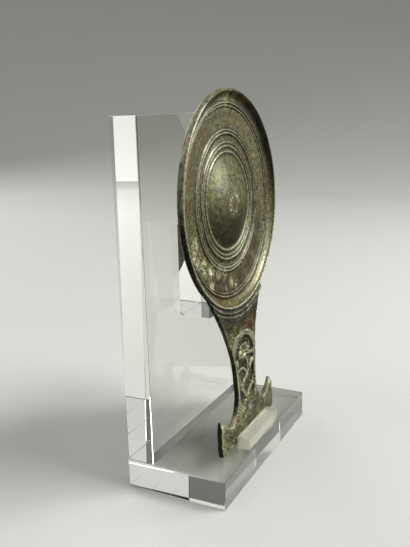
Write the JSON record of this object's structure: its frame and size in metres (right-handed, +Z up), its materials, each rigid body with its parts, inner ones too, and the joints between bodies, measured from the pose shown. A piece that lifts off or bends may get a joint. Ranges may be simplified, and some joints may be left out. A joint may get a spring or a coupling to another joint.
{
  "type": "etruscan hand mirror",
  "caption": "Round cast bronze hand mirror with turned rings, a flared handle and a crescent foot, standing upright on a clear acrylic display stand.",
  "frame": {"origin": "middle of the stand base's underside", "axes": "+Z up, +X to the right when facing the mirror's ringed face, and the ringed face looks along -Y"},
  "size_m": [0.1554, 0.074, 0.2667],
  "materials": {
    "patinated_bronze": "worn olive-brown patina over bronze",
    "clear_acrylic": "polished and clear"
  },
  "bodies": {
    "root": {"mirror": "patinated_bronze", "stand_base": "clear_acrylic", "stand_upright": "clear_acrylic", "stand_spacer": "clear_acrylic", "stand_front_bar": "clear_acrylic"}
  },
  "joints": []
}
